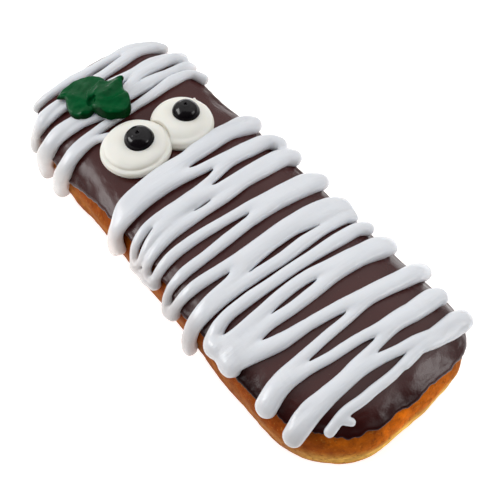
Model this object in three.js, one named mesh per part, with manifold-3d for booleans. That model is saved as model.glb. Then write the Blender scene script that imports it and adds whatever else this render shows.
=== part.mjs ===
// A bar doughnut dressed as a mummy: a long fried bar lying flat, a poured
// chocolate coat over its top, white icing piped back and forth across it as
// bandages, two icing eyes with black pupils and a green icing leaf.
// Millimetres, +Z up, +Y towards the head, resting on the flat of its base.
import * as THREE from 'three';
import { mergeVertices } from 'three/addons/utils/BufferGeometryUtils.js';
import Module from 'manifold-3d';

const wasm = await Module();
wasm.setup();

// ---- driving dimensions -------------------------------------------------
const LENGTH = 165;          // head to foot
const WIDTH = 61;            // across the middle
const EQUATOR = 14.5;        // height of the widest level
const CROWN = 15.5;          // dough above the widest level
const BELLY = 15.6;          // dough below it, before the flat of the base
const CAP = 33;              // length of each rounded end
const PLAN_POWER = 3.04;     // squareness of the plan
const SIDE_POWER = 2.5;      // squareness of the section
const TAPER = 0.068;         // the head end is this much narrower than the middle
const CENTRE_X = 0.3;        // brings the overhanging icing evenly about x = 0
const GAP = 0.3;             // clearance between pieces that touch
const COAT = 1.9;            // chocolate surface above the dough on the crown
const COAT_EDGE = 0.62;      // height of the coat's lower edge, as cube elevation
const ICED_CROWN = 18.9;     // strand centre line above the widest level
const ICED_SIDE = 2.0;       // strand centre line out from the dough's side
const STRAND_HEIGHT = 1.75;  // half height of a strand
const STRAND_SIDES = 6;
const STRAND_UNDER = 0.62;   // from a strand's centre line to its flat underside
const STRAND_STEP = 17;      // length of a facet along a strand on the crown
const DISC_HEIGHT = 4.0;     // eye disc
const LEAF_HEIGHT = 3.4;     // leaf at its thick end

// Zigzag passes of the bandages, in the unrolled top: along X is the distance
// around the section from the crown line, along Y the place towards the head.
// [left end X, Y,  Y at X -18, 0 and 18,  right end X, Y,  half width]
const HEAD_PASSES = [
  [-22.8, 72.4, 71.6, 71.0, 72.6, 28.0, 69.0, 2.0],
  [-36.0, 68.0, 64.9, 65.4, 67.6, 28.0, 69.0, 2.1],
  [-36.0, 67.4, 61.9, 59.8, 61.5, 32.0, 60.6, 2.0],
  [-37.4, 58.4, 54.7, 54.3, 57.8, 32.0, 60.0, 2.1],
  [-37.4, 57.9, 52.4, 51.1, 53.7, 36.4, 53.2, 2.1],
  [-38.0, 48.4, 46.6, 47.2, 50.0, 36.4, 51.6, 2.2],
];
const HEAD_TAIL = [-38.0, 48.0, 44.6, -16.0, 42.4, 2.0];
const BODY_PASSES = [
  [-38.6, 15.6, 19.6, 20.3, 22.2, 30.6, 19.6, 2.3],
  [-38.2, 12.8, 16.4, 17.0, 19.0, 30.6, 19.0, 2.2],
  [-37.6, 11.9, 14.0, 13.2, 12.7, 32.6, 9.6, 2.1],
  [-34.2, 5.0, 8.0, 7.8, 9.8, 32.6, 8.9, 2.1],
  [-34.2, 3.6, 4.4, 3.8, 4.3, 33.4, 2.0, 2.1],
  [-34.8, -2.6, -0.3, -0.6, 0.8, 33.4, 1.4, 2.2],
  [-35.4, -4.6, -5.1, -7.3, -7.8, 33.4, -10.8, 2.2],
  [-38.6, -13.4, -11.6, -11.0, -11.1, 33.4, -11.2, 2.1],
  [-38.6, -15.0, -18.6, -20.1, -19.7, 32.4, -22.6, 2.1],
  [-40.4, -24.0, -23.5, -22.9, -22.8, 32.4, -23.9, 2.1],
  [-40.4, -25.4, -26.9, -27.9, -27.5, 33.4, -30.2, 2.1],
  [-31.6, -33.8, -31.3, -31.8, -32.3, 32.6, -32.2, 2.2],
  [-31.6, -34.6, -36.6, -36.8, -38.3, 33.6, -40.4, 2.2],
  [-32.0, -41.4, -41.0, -41.2, -41.3, 33.6, -42.4, 2.3],
  [-32.0, -42.8, -45.8, -49.6, -52.1, 35.0, -55.4, 2.3],
  [-33.0, -56.6, -54.6, -53.4, -53.7, 35.0, -56.0, 2.1],
  [-33.0, -58.0, -57.0, -59.3, -60.3, 32.0, -62.6, 2.0],
  [-34.0, -68.0, -64.5, -62.7, -62.3, 32.0, -64.2, 2.1],
  [-34.0, -69.2, -66.6, -66.3, -69.2, 35.6, -73.8, 2.1],
  [-22.7, -73.5, -72.0, -71.7, -72.2, 35.6, -75.6, 1.7],
];
// Puddles where turns ran together: [X, Y, radius]
const BODY_POOLS = [[-30.6, -38.2, 3.4], [-31.2, -42.6, 3.9]];

// Eye discs: [x, y, radius], pupils set off from their centres: [dx, dy, radius]
const EYES = [
  { node: 'eye_left', at: [-10.5, 31.5], radius: 11.3, pupil: [1.9, 1.4, 4.7] },
  { node: 'eye_right', at: [7.3, 31.0], radius: 10.2, pupil: [2.3, 1.8, 4.4] },
];

// ---- the bar's own surface ----------------------------------------------
const SPINE = LENGTH / 2 - CAP;
const clamp = (v, a, b) => Math.min(b, Math.max(a, v));
const taperAt = (y) => 1 - TAPER * y / (LENGTH / 2);

// A slight unevenness shared by every piece, so that they still fit each other.
function settle(p) {
  const y = p.y;
  p.x = p.x * (1 + 0.006 * Math.sin(y / 15 + 0.8)) + 0.35 * Math.sin(y / 34 + 0.4) + CENTRE_X;
  if (p.z > 0) p.z *= 1 + 0.008 * Math.sin(y / 19 + 1.1) + 0.004 * Math.sin(y / 8.5);
  return p;
}

// From a point on the unit cube to the bar's surface, moved out by o.
function onSkin(px, py, pz, o, crown = CROWN) {
  const yq = py * LENGTH / 2;
  const y0 = clamp(yq, -SPINE, SPINE);
  const v = (yq - y0) / CAP;
  const plan = Math.pow(Math.abs(px), PLAN_POWER) + Math.pow(Math.abs(v), PLAN_POWER);
  const g = Math.pow(Math.pow(plan, SIDE_POWER / PLAN_POWER)
    + Math.pow(Math.abs(pz), SIDE_POWER), 1 / SIDE_POWER);
  const y = y0 + v / g * (CAP + o);
  const x = px / g * (WIDTH / 2 + o) * taperAt(y);
  const z = EQUATOR + pz / g * (pz > 0 ? crown + o : BELLY + o);
  return new THREE.Vector3(x, y, z);
}

// Height of the offset surface over a place in the plan.
function heightAt(x, y, o) {
  const u = Math.abs(x) / ((WIDTH / 2 + o) * taperAt(y));
  const v = Math.max(Math.abs(y) - SPINE, 0) / (CAP + o);
  const k = Math.pow(Math.pow(u, PLAN_POWER) + Math.pow(v, PLAN_POWER), 1 / PLAN_POWER);
  return EQUATOR + (CROWN + o) * Math.pow(Math.max(0, 1 - Math.pow(k, SIDE_POWER)), 1 / SIDE_POWER);
}

// Distance along the section from the crown line, for the unrolled top that
// carries the icing's centre lines.
const ARC = [[0, 0]];
{
  const reach = WIDTH / 2, rise = ICED_CROWN - ICED_SIDE, n = 400;
  let x0 = 0, z0 = rise, s = 0;
  for (let i = 1; i <= n; i++) {
    const a = Math.PI / 2 * (1 - i / n);
    const k = Math.pow(Math.cos(a), 2 / SIDE_POWER);
    const x = reach * k, z = rise * Math.pow(Math.sin(a), 2 / SIDE_POWER);
    s += Math.hypot(x - x0, z - z0);
    x0 = x; z0 = z;
    ARC.push([s, k]);
  }
}
const SIDE_ARC = ARC[ARC.length - 1][0];

function kAt(s) {
  let i = 1;
  while (i < ARC.length - 1 && ARC[i][0] < s) i++;
  const [s0, k0] = ARC[i - 1], [s1, k1] = ARC[i];
  return k0 + (k1 - k0) * (s - s0) / (s1 - s0);
}

// From the unrolled top to the surface that the strands' centres run on; past
// the widest level they hang straight down.
function onTop(X, Y) {
  const o = ICED_SIDE;
  const w = taperAt(clamp(Y, -LENGTH / 2, LENGTH / 2));
  const u = X / (SIDE_ARC * w);
  const v = Math.max(Math.abs(Y) - SPINE, 0) * (WIDTH / 2) / (SIDE_ARC * CAP);
  const K = Math.max(1e-6, Math.pow(Math.pow(Math.abs(u), PLAN_POWER) + Math.pow(v, PLAN_POWER), 1 / PLAN_POWER));
  const k = K < 1 ? kAt(K * SIDE_ARC) : 1;
  const y = v > 0 ? Math.sign(Y) * (SPINE + v / K * k * (CAP + o)) : Y;
  const x = u / K * k * (WIDTH / 2 + o) * taperAt(y);
  const z = EQUATOR + ICED_CROWN * Math.pow(Math.max(0, 1 - Math.pow(k, SIDE_POWER)), 1 / SIDE_POWER)
    - Math.max(0, K - 1) * SIDE_ARC;
  return new THREE.Vector3(x, y, z);
}

function normalAt(X, Y) {
  const a = onTop(X + 0.2, Y).sub(onTop(X - 0.2, Y));
  const b = onTop(X, Y + 0.2).sub(onTop(X, Y - 0.2));
  return a.cross(b).normalize();
}

// ---- geometry helpers ----------------------------------------------------
function bare(geometry) {
  for (const name of Object.keys(geometry.attributes)) {
    if (name !== 'position') geometry.deleteAttribute(name);
  }
  geometry.clearGroups();
  return mergeVertices(geometry, 1e-4);
}

function mapped(geometry, f) {
  const g = bare(geometry);
  const pos = g.attributes.position;
  const p = new THREE.Vector3();
  for (let i = 0; i < pos.count; i++) {
    p.fromBufferAttribute(pos, i);
    const q = settle(f(p.clone()));
    pos.setXYZ(i, q.x, q.y, q.z);
  }
  return mergeVertices(g, 1e-4);
}

function solid(geometry) {
  const mesh = new wasm.Mesh({
    numProp: 3,
    vertProperties: new Float32Array(geometry.attributes.position.array),
    triVerts: new Uint32Array(geometry.index.array),
  });
  return new wasm.Manifold(mesh);
}

function geometryOf(manifold) {
  const mesh = manifold.getMesh();
  const g = new THREE.BufferGeometry();
  const count = mesh.vertProperties.length / mesh.numProp;
  const pos = new Float32Array(count * 3);
  for (let i = 0; i < count; i++) {
    for (let j = 0; j < 3; j++) pos[3 * i + j] = mesh.vertProperties[i * mesh.numProp + j];
  }
  g.setAttribute('position', new THREE.BufferAttribute(pos, 3));
  g.setIndex(new THREE.BufferAttribute(new Uint32Array(mesh.triVerts), 1));
  return g;
}

// The largest connected body, so that no stray sliver of a cut stays.
function mainBody(manifold) {
  const bodies = manifold.decompose();
  return bodies.reduce((a, b) => (b.volume() > a.volume() ? b : a));
}

// ---- dough -----------------------------------------------------------------
const DOUGH_GRID = [8, 18, 6];  // facets across, along and up
const BASE_WIDTH = 29;
const BASE_LENGTH = 126;

// The underside is one plain rectangle, the flat that the bar rests on.
function dough(o) {
  const g = mapped(new THREE.BoxGeometry(2, 2, 2, ...DOUGH_GRID), (p) => onSkin(p.x, p.y, p.z, o));
  const pos = g.attributes.position;
  for (let i = 0; i < pos.count; i++) {
    if (pos.getZ(i) > 1) continue;
    const x = pos.getX(i), y = pos.getY(i);
    pos.setXYZ(i,
      Math.abs(x) > BASE_WIDTH * 0.4 ? Math.sign(x) * BASE_WIDTH / 2 : x,
      Math.abs(y) > BASE_LENGTH * 0.47 ? Math.sign(y) * BASE_LENGTH / 2 : y, 0);
  }
  return g;
}

// ---- chocolate coat ----------------------------------------------------------
// The coat's lower edge wanders in soft waves around the bar.
function edgeAt(px, py) {
  const a = Math.atan2(py * 2.7, px);
  return COAT_EDGE + 0.05 * Math.sin(3 * a + 0.6) + 0.045 * Math.sin(7 * a + 2.1)
    + 0.03 * Math.sin(12 * a + 0.3);
}

function coat(o) {
  return mapped(new THREE.BoxGeometry(2, 2, 2, 8, 20, 6), (p) => {
    const r = Math.abs(p.z);
    const e = edgeAt(p.x, p.y);
    const inside = p.z < -0.01;
    const rim = Math.abs(p.z) < 0.01;
    const pz = r >= 0.999 ? 1 : e + (1 - e) * Math.pow(r, 1.2);
    const lip = 0.3 * Math.max(0, 1 - Math.abs(r - 0.33) / 0.34);
    const rise = inside ? -2.4 : rim ? 0.25 + o : COAT + lip + o;
    const q = onSkin(p.x, p.y, rim ? pz - 0.04 - 0.03 * o : pz, rise * (inside ? 1 : 0.42));
    // thicker on the crown, thinner down the sides, as a poured coat settles
    if (!inside && !rim) {
      const flat = clamp((q.z - EQUATOR) / CROWN, 0, 1);
      q.z += (rise * 0.58) * flat;
    }
    return q;
  });
}

// ---- bandages -----------------------------------------------------------------
// A bead of icing along a curve on the unrolled top: a capsule bent onto it,
// with a flat underside just clear of the chocolate. Its rings stand closer
// together over the shoulders, where the bar turns down.
function strand(points, half, grow) {
  const curve = new THREE.CatmullRomCurve3(points.map(([X, Y]) => new THREE.Vector3(X, Y, 0)));
  const n = 200, table = [0];
  for (let i = 0; i < n; i++) {
    const X = Math.abs(curve.getPointAt((i + 0.5) / n).x);
    table.push(table[i] + 1 + 1.7 * clamp((X - 13) / 6, 0, 1));
  }
  const whole = table[n] * curve.getLength() / n;
  const steps = Math.max(3, Math.round(whole / STRAND_STEP));
  const timeAt = (f) => {
    let i = 1;
    while (i < n && table[i] < f * table[n]) i++;
    return (i - 1 + (f * table[n] - table[i - 1]) / (table[i] - table[i - 1])) / n;
  };
  const place = (t) => {
    const c = curve.getPointAt(clamp(t, 0, 1));
    return onTop(c.x, c.y);
  };
  const capsule = new THREE.CapsuleGeometry(1, 10, 2, STRAND_SIDES, steps);
  capsule.rotateY(Math.PI / STRAND_SIDES);
  return mapped(capsule, (p) => {
    const along = clamp(p.y, -5, 5);
    const t = clamp(timeAt(along / 10 + 0.5), 0, 1);
    const over = p.y - along;
    const c = curve.getPointAt(t);
    const at = onTop(c.x, c.y);
    const tangent = place(t + 0.01).sub(place(t - 0.01)).normalize();
    const up = normalAt(c.x, c.y);
    const side = new THREE.Vector3().crossVectors(tangent, up).normalize();
    const top = new THREE.Vector3().crossVectors(side, tangent);
    const rise = p.z > 0 ? p.z * (STRAND_HEIGHT + grow) / 0.87 : p.z * (STRAND_UNDER + grow) / 0.87;
    return at
      .addScaledVector(tangent, over * (half + grow))
      .addScaledVector(side, p.x * (half + grow))
      .addScaledVector(top, rise);
  });
}

function passPoints([xl, yl, ya, yb, yc, xr, yr]) {
  const pts = [[xl, yl]];
  if (xl < -24) pts.push([-18, ya]); else pts.push([-12, ya]);
  pts.push([0, yb], [18, yc], [xr, yr]);
  return pts;
}

function wrap(passes, tails, pools, grow) {
  const pieces = passes.map((row) => solid(strand(passPoints(row), row[7], grow)));
  for (const [xa, ya, ym, xb, yb, half] of tails) {
    pieces.push(solid(strand([[xa, ya], [(xa + xb) / 2, ym], [xb, yb]], half, grow)));
  }
  for (const [X, Y, r] of pools) {
    pieces.push(solid(mapped(new THREE.SphereGeometry(1, 8, 6), (p) => {
      const at = onTop(X, Y);
      const up = normalAt(X, Y);
      const side = new THREE.Vector3().crossVectors(new THREE.Vector3(0, 1, 0), up).normalize();
      const along = new THREE.Vector3().crossVectors(up, side);
      return at.addScaledVector(side, p.x * (r + grow))
        .addScaledVector(along, p.y * (r + grow))
        .addScaledVector(up, p.z * ((p.z > 0 ? STRAND_HEIGHT : STRAND_UNDER) + grow));
    })));
  }
  return pieces.reduce((a, b) => a.add(b));
}

// ---- eyes ---------------------------------------------------------------------
// A turned profile [radius, height] pairs about +Z, placed on the crown.
function turned(profile, around) {
  const pts = profile.map(([r, h]) => new THREE.Vector2(r, h));
  return new THREE.LatheGeometry(pts, around).rotateX(Math.PI / 2);
}

// Frame of an eye: a disc laid on the chocolate, tipped with the crown.
function eyeFrame({ at: [x, y], radius }) {
  const o = COAT + GAP;
  const across = (heightAt(x + radius * 0.7, y, o) - heightAt(x - radius * 0.7, y, o)) / (1.4 * radius);
  const along = (heightAt(x, y + radius * 0.7, o) - heightAt(x, y - radius * 0.7, o)) / (1.4 * radius);
  const up = new THREE.Vector3(-across, -along, 1).normalize();
  const turn = new THREE.Quaternion().setFromUnitVectors(new THREE.Vector3(0, 0, 1), up);
  const base = heightAt(x, y, o) - 0.25;
  return new THREE.Matrix4().compose(new THREE.Vector3(x, y, base), turn, new THREE.Vector3(1, 1, 1));
}

function disc(eye, grow) {
  const R = eye.radius + grow, H = DISC_HEIGHT + grow, m = eyeFrame(eye);
  const profile = [
    [0, -4], [R * 0.93, -4], [R - 0.3, -0.6], [R, 0.9], [R - 0.15, 1.7], [R - 0.9, H - 1.1],
    [R - 2.3, H - 0.25], [R * 0.55, H], [0, H],
  ];
  return mapped(turned(profile, 18), (p) => p.applyMatrix4(m));
}

function pupil(eye) {
  const [dx, dy, r] = eye.pupil;
  const m = eyeFrame(eye);
  const base = DISC_HEIGHT + GAP;
  const profile = [
    [0, 0], [r * 0.9, 0], [r, 0.7], [r * 0.93, 1.7], [r * 0.68, 2.9], [r * 0.36, 3.5], [0, 3.6],
  ].map(([a, h]) => [a, h + base]);
  const g = turned(profile, 12).translate(dx, dy, 0);
  return mapped(g, (p) => p.applyMatrix4(m));
}

// ---- leaf ----------------------------------------------------------------------
// Two piped lobes: rounded pads, each drawn out to a tip, thick towards the
// eyes and thin at the tip. The right lobe lies over the left one.
const LEAF_POINTS = 16;
const LOBES = [
  { centre: [-10.4, 59.2], axes: [7.6, 7.4], tips: [[138, 0.24, 0.34], [222, 0.16, 0.4]], lift: 0 },
  { centre: [-5.9, 51.6], axes: [6.1, 8.2], tips: [[36, 0.55, 0.36], [330, 0.06, 0.5]], lift: 0.7 },
];

// Lobe outline in polar form: an ellipse with soft points [degrees, reach, spread].
function lobeShape({ centre, axes: [a, b], tips }) {
  const pts = [];
  for (let i = 0; i < LEAF_POINTS; i++) {
    const t = i / LEAF_POINTS * 2 * Math.PI;
    let r = a * b / Math.hypot(b * Math.cos(t), a * Math.sin(t));
    for (const [deg, reach, spread] of tips) {
      let d = t - deg * Math.PI / 180;
      d = Math.atan2(Math.sin(d), Math.cos(d));
      r *= 1 + reach * Math.exp(-(d * d) / (spread * spread));
    }
    pts.push(new THREE.Vector2(centre[0] + r * Math.cos(t), centre[1] + r * Math.sin(t)));
  }
  return new THREE.Shape(pts);
}

function lobe(spec) {
  const g = new THREE.ExtrudeGeometry(lobeShape(spec), {
    depth: LEAF_HEIGHT - 1.4, steps: 1, bevelEnabled: true, bevelThickness: 0.7,
    bevelSize: 0.9, bevelOffset: -0.9, bevelSegments: 1,
  });
  g.translate(0, 0, 0.7);
  const far = spec.centre[1] + spec.axes[1], near = spec.centre[1] - spec.axes[1];
  return mapped(g, (p) => {
    const t = clamp((p.y - near) / (far - near), 0, 1);
    const ground = heightAt(p.x, p.y, COAT) + 2.4 + spec.lift;
    p.z = ground + p.z * (1 - 0.4 * t);
    return p;
  });
}

// ---- assembly ------------------------------------------------------------------
const doughSolid = solid(dough(0));
const doughClear = solid(dough(GAP));
const coatSolid = mainBody(solid(coat(0)).subtract(doughClear));
const underIcing = solid(coat(GAP)).add(doughClear);

const discs = EYES.map((eye) => solid(disc(eye, 0)));
const discsClear = EYES.map((eye) => solid(disc(eye, GAP)));
const eyeLeft = mainBody(discs[0].subtract(underIcing));
const eyeRight = mainBody(discs[1].subtract(underIcing).subtract(discsClear[0]));
const pupils = EYES.map((eye) => solid(pupil(eye)));

const headWrap = mainBody(wrap(HEAD_PASSES, [HEAD_TAIL], [], 0).subtract(discsClear[0]));
const bodyWrap = mainBody(wrap(BODY_PASSES, [], BODY_POOLS, 0)
  .subtract(discsClear[0]).subtract(discsClear[1]));

const headClear = wrap(HEAD_PASSES, [HEAD_TAIL], [], GAP);
const leaf = mainBody(LOBES.map((l) => solid(lobe(l))).reduce((a, b) => a.add(b))
  .subtract(headClear).subtract(underIcing).subtract(discsClear[0]));

const LOOKS = {
  dough: { color: 0xb9691f, roughness: 0.62 },
  chocolate: { color: 0x2a1512, roughness: 0.38 },
  bandage: { color: 0xe3e7ee, roughness: 0.36 },
  eye: { color: 0xf2eee4, roughness: 0.5 },
  pupil: { color: 0x0d0d10, roughness: 0.2 },
  leaf: { color: 0x0c4a24, roughness: 0.42 },
};

const group = new THREE.Group();

function addNode(name, look, manifold) {
  const material = new THREE.MeshStandardMaterial({ ...LOOKS[look], metalness: 0 });
  const mesh = new THREE.Mesh(geometryOf(manifold), material);
  mesh.name = name;
  group.add(mesh);
}

addNode('dough', 'dough', doughSolid);
addNode('chocolate_coat', 'chocolate', coatSolid);
addNode('head_wrap', 'bandage', headWrap);
addNode('body_wrap', 'bandage', bodyWrap);
addNode('eye_left', 'eye', eyeLeft);
addNode('eye_right', 'eye', eyeRight);
addNode('pupil_left', 'pupil', pupils[0]);
addNode('pupil_right', 'pupil', pupils[1]);
addNode('leaf', 'leaf', leaf);

export default group;
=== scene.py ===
# Looks of the mummy bar doughnut: dough, chocolate coat, piped bandages, eyes
# and leaf, each as one closed mesh worked out from named sizes, around the
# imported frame. Lengths are millimetres until a mesh is made, then metres.
import math

import bpy
import numpy as np
from mathutils import Matrix, Vector


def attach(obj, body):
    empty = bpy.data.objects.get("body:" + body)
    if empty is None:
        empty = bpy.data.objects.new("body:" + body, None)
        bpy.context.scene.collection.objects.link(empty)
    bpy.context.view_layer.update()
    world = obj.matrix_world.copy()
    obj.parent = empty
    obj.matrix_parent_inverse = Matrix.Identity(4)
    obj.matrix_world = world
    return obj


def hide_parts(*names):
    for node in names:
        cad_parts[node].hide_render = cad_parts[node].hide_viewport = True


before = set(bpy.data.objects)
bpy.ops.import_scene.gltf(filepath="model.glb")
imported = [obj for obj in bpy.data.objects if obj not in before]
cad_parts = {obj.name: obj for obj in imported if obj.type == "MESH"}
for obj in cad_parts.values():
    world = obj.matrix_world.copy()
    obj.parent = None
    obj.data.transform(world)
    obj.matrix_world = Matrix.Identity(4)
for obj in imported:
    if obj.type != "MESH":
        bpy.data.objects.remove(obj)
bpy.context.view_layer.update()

# ---- driving dimensions, as in the frame's solids ---------------------------
LENGTH, WIDTH = 165.0, 61.0
EQUATOR, CROWN, BELLY = 14.5, 15.5, 15.6
CAP, PLAN_POWER, SIDE_POWER = 33.0, 3.04, 2.5
TAPER, CENTRE_X = 0.068, 0.3
COAT = 1.9
ICED_CROWN, ICED_SIDE = 18.9, 2.0
SPINE = LENGTH / 2 - CAP

# ---- camera: the photograph's standpoint ------------------------------------
AZ, EL, ROLL = math.radians(-38.876), math.radians(57.325), math.radians(-0.149)
DISTANCE, FOCAL_PX, OFF_R, OFF_U = 254.18, 796.707, 7.619, -5.978


def make_camera():
    back = np.array([math.sin(AZ) * math.cos(EL), -math.cos(AZ) * math.cos(EL), math.sin(EL)])
    right = np.array([math.cos(AZ), math.sin(AZ), 0.0])
    up = np.cross(back, right)
    r = math.cos(ROLL) * right + math.sin(ROLL) * up
    u = -math.sin(ROLL) * right + math.cos(ROLL) * up
    at = back * DISTANCE + r * OFF_R + u * OFF_U + np.array([CENTRE_X, 0, EQUATOR])
    data = bpy.data.cameras.new("camera")
    data.sensor_width = 36.0
    data.lens = FOCAL_PX * 36.0 / 500.0
    data.clip_start, data.clip_end = 0.01, 20.0
    cam = bpy.data.objects.new("camera", data)
    m = Matrix.Identity(4)
    for i in range(3):
        m[i][0], m[i][1], m[i][2], m[i][3] = r[i], u[i], back[i], at[i] / 1000
    cam.matrix_world = m
    bpy.context.collection.objects.link(cam)
    bpy.context.scene.camera = cam


make_camera()


# ---- soft unevenness ----------------------------------------------------------
def waves(p, size, seed, count=14):
    """Smooth lumps of about the given size over points p, between about -1 and 1."""
    rng = np.random.RandomState(seed)
    d = rng.normal(size=(count, p.shape[-1]))
    d /= np.linalg.norm(d, axis=1)[:, None]
    d *= (2 * np.pi / size) * rng.uniform(0.6, 1.5, count)[:, None]
    phase = rng.uniform(0, 2 * np.pi, count)
    out = np.zeros(p.shape[:-1])
    for k, f in zip(d, phase):
        out += np.sin(p @ k + f)
    return out / math.sqrt(count / 2) / 1.6


# ---- the bar's own surface -----------------------------------------------------
def taper_at(y):
    return 1 - TAPER * y / (LENGTH / 2)


def smooth_through(x, at, value):
    """A smooth curve through the values listed at at, level beyond its ends."""
    at, value = np.asarray(at, float), np.asarray(value, float)
    x = np.clip(x, at[0], at[-1])
    i = np.clip(np.searchsorted(at, x) - 1, 0, len(at) - 2)
    m, h = np.gradient(value, at), at[i + 1] - at[i]
    t = (x - at[i]) / h
    return ((2 * t ** 3 - 3 * t ** 2 + 1) * value[i] + (t ** 3 - 2 * t ** 2 + t) * h * m[i]
            + (-2 * t ** 3 + 3 * t ** 2) * value[i + 1] + (t ** 3 - t ** 2) * h * m[i + 1])


# How far the foot end stands out beyond its even form, across the bar.
FOOT_AT = (-30, -24, -18, -12, -6, 0, 6, 12, 18, 24, 30)
FOOT_OUT = (-2.4, -1.9, -0.45, 0.12, -0.22, -0.33, -0.27, -0.47, 0.13, 0.85, 1.1)


# The same for the head end.
HEAD_AT = (-30, -20, -10, 0, 8, 14, 20, 26, 32)
HEAD_OUT = (0.0, 0.0, 0.0, 0.15, 0.75, 1.15, 1.0, 0.6, 0.2)


def settle(p):
    p = np.array(p, dtype=float)
    y = p[..., 1]
    p[..., 0] = (p[..., 0] * (1 + 0.006 * np.sin(y / 15 + 0.8))
                 + 0.35 * np.sin(y / 34 + 0.4) + CENTRE_X)
    lift = 1 + 0.008 * np.sin(y / 19 + 1.1) + 0.004 * np.sin(y / 8.5)
    p[..., 2] = np.where(p[..., 2] > 0, p[..., 2] * lift, p[..., 2])
    # a touch fuller down one side, and the foot end not quite square
    side = np.clip(p[..., 0] / 26, 0, 1) ** 3
    foot = np.clip((-y - 45) / 25, 0, 1)
    p[..., 0] += side * (0.5 + 0.8 * np.exp(-((y + 68) / 10) ** 2) - 0.6 * np.exp(-((y - 35) / 12) ** 2))
    head = np.clip((y - 46) / 26, 0, 1)
    p[..., 1] += (head * head * (3 - 2 * head) * smooth_through(p[..., 0], HEAD_AT, HEAD_OUT)
                  - foot * foot * (3 - 2 * foot) * smooth_through(p[..., 0], FOOT_AT, FOOT_OUT))
    return p


def on_skin(px, py, pz, o, crown=CROWN):
    yq = py * LENGTH / 2
    y0 = np.clip(yq, -SPINE, SPINE)
    v = (yq - y0) / CAP
    plan = np.abs(px) ** PLAN_POWER + np.abs(v) ** PLAN_POWER
    g = (plan ** (SIDE_POWER / PLAN_POWER) + np.abs(pz) ** SIDE_POWER) ** (1 / SIDE_POWER)
    y = y0 + v / g * (CAP + o)
    x = px / g * (WIDTH / 2 + o) * taper_at(y)
    z = EQUATOR + pz / g * np.where(pz > 0, crown + o, BELLY + o)
    return np.stack([x, y, z], -1)


def height_at(x, y, o):
    u = np.abs(x) / ((WIDTH / 2 + o) * taper_at(y))
    v = np.maximum(np.abs(y) - SPINE, 0) / (CAP + o)
    k = (u ** PLAN_POWER + v ** PLAN_POWER) ** (1 / PLAN_POWER)
    return EQUATOR + (CROWN + o) * np.maximum(0, 1 - k ** SIDE_POWER) ** (1 / SIDE_POWER)


_a = np.pi / 2 * (1 - np.arange(401) / 400)
_k = np.cos(_a) ** (2 / SIDE_POWER)
_z = (ICED_CROWN - ICED_SIDE) * np.sin(_a) ** (2 / SIDE_POWER)
ARC_S = np.concatenate([[0], np.cumsum(np.hypot(np.diff(_k) * WIDTH / 2, np.diff(_z)))])
ARC_K = _k
SIDE_ARC = ARC_S[-1]


def on_top(X, Y):
    """From the unrolled top to the surface that the strands' centres run on."""
    X, Y = np.asarray(X, float), np.asarray(Y, float)
    o = ICED_SIDE
    w = taper_at(np.clip(Y, -LENGTH / 2, LENGTH / 2))
    u = X / (SIDE_ARC * w)
    v = np.maximum(np.abs(Y) - SPINE, 0) * (WIDTH / 2) / (SIDE_ARC * CAP)
    K = np.maximum(1e-6, (np.abs(u) ** PLAN_POWER + v ** PLAN_POWER) ** (1 / PLAN_POWER))
    k = np.where(K < 1, np.interp(K * SIDE_ARC, ARC_S, ARC_K), 1)
    y = np.where(v > 0, np.sign(Y) * (SPINE + v / K * k * (CAP + o)), Y)
    x = u / K * k * (WIDTH / 2 + o) * taper_at(y)
    z = (EQUATOR + ICED_CROWN * np.maximum(0, 1 - k ** SIDE_POWER) ** (1 / SIDE_POWER)
         - np.maximum(0, K - 1) * SIDE_ARC)
    return np.stack([x, y, z], -1)


def normal_at(X, Y):
    a = on_top(X + 0.2, Y) - on_top(X - 0.2, Y)
    b = on_top(X, Y + 0.2) - on_top(X, Y - 0.2)
    n = np.cross(a, b)
    return n / np.linalg.norm(n, axis=-1, keepdims=True)


# ---- mesh helpers -----------------------------------------------------------------
def make_object(name, verts, faces, material, node, slot, smooth=True):
    """One piece from points in millimetres; it stands for the node it replaces."""
    verts = np.asarray(verts, dtype=np.float64) / 1000.0
    faces = np.asarray(faces, dtype=np.int32)
    mesh = bpy.data.meshes.new(name)
    n, m = len(faces), faces.shape[1]
    mesh.vertices.add(len(verts))
    mesh.vertices.foreach_set("co", verts.astype(np.float32).ravel())
    mesh.loops.add(n * m)
    mesh.loops.foreach_set("vertex_index", faces.ravel())
    mesh.polygons.add(n)
    mesh.polygons.foreach_set("loop_start", np.arange(n, dtype=np.int32) * m)
    mesh.polygons.foreach_set("loop_total", np.full(n, m, dtype=np.int32))
    mesh.update(calc_edges=True)
    mesh.validate()
    if smooth:
        mesh.polygons.foreach_set("use_smooth", np.ones(len(mesh.polygons), dtype=bool))
    obj = bpy.data.objects.new(name, mesh)
    bpy.context.collection.objects.link(obj)
    mesh.materials.append(material)
    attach(obj, "root")
    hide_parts(node)
    return obj


def cube_grid(nx, ny, nz):
    """Points and quads of a cube's surface, -1 to 1, with shared points."""
    quads, n = [], np.array([nx, ny, nz])
    for axis in range(3):
        a, b = [(1, 2), (2, 0), (0, 1)][axis]
        i, j = np.meshgrid(np.arange(n[a]), np.arange(n[b]), indexing="ij")
        for end in (0, 1):
            corners = []
            for di, dj in ((0, 0), (1, 0), (1, 1), (0, 1)):
                q = np.zeros(i.shape + (3,), int)
                q[..., axis] = n[axis] * end
                q[..., a], q[..., b] = i + di, j + dj
                corners.append(q.reshape(-1, 3))
            if end == 0:
                corners.reverse()
            quads.append(np.stack(corners, 1))
    quads = np.concatenate(quads)
    flat = quads.reshape(-1, 3)
    key = (flat[:, 0] * (ny + 1) + flat[:, 1]) * (nz + 1) + flat[:, 2]
    _, first, inverse = np.unique(key, return_index=True, return_inverse=True)
    points = flat[first] / n * 2.0 - 1.0
    return points, inverse.reshape(-1, 4)


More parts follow.
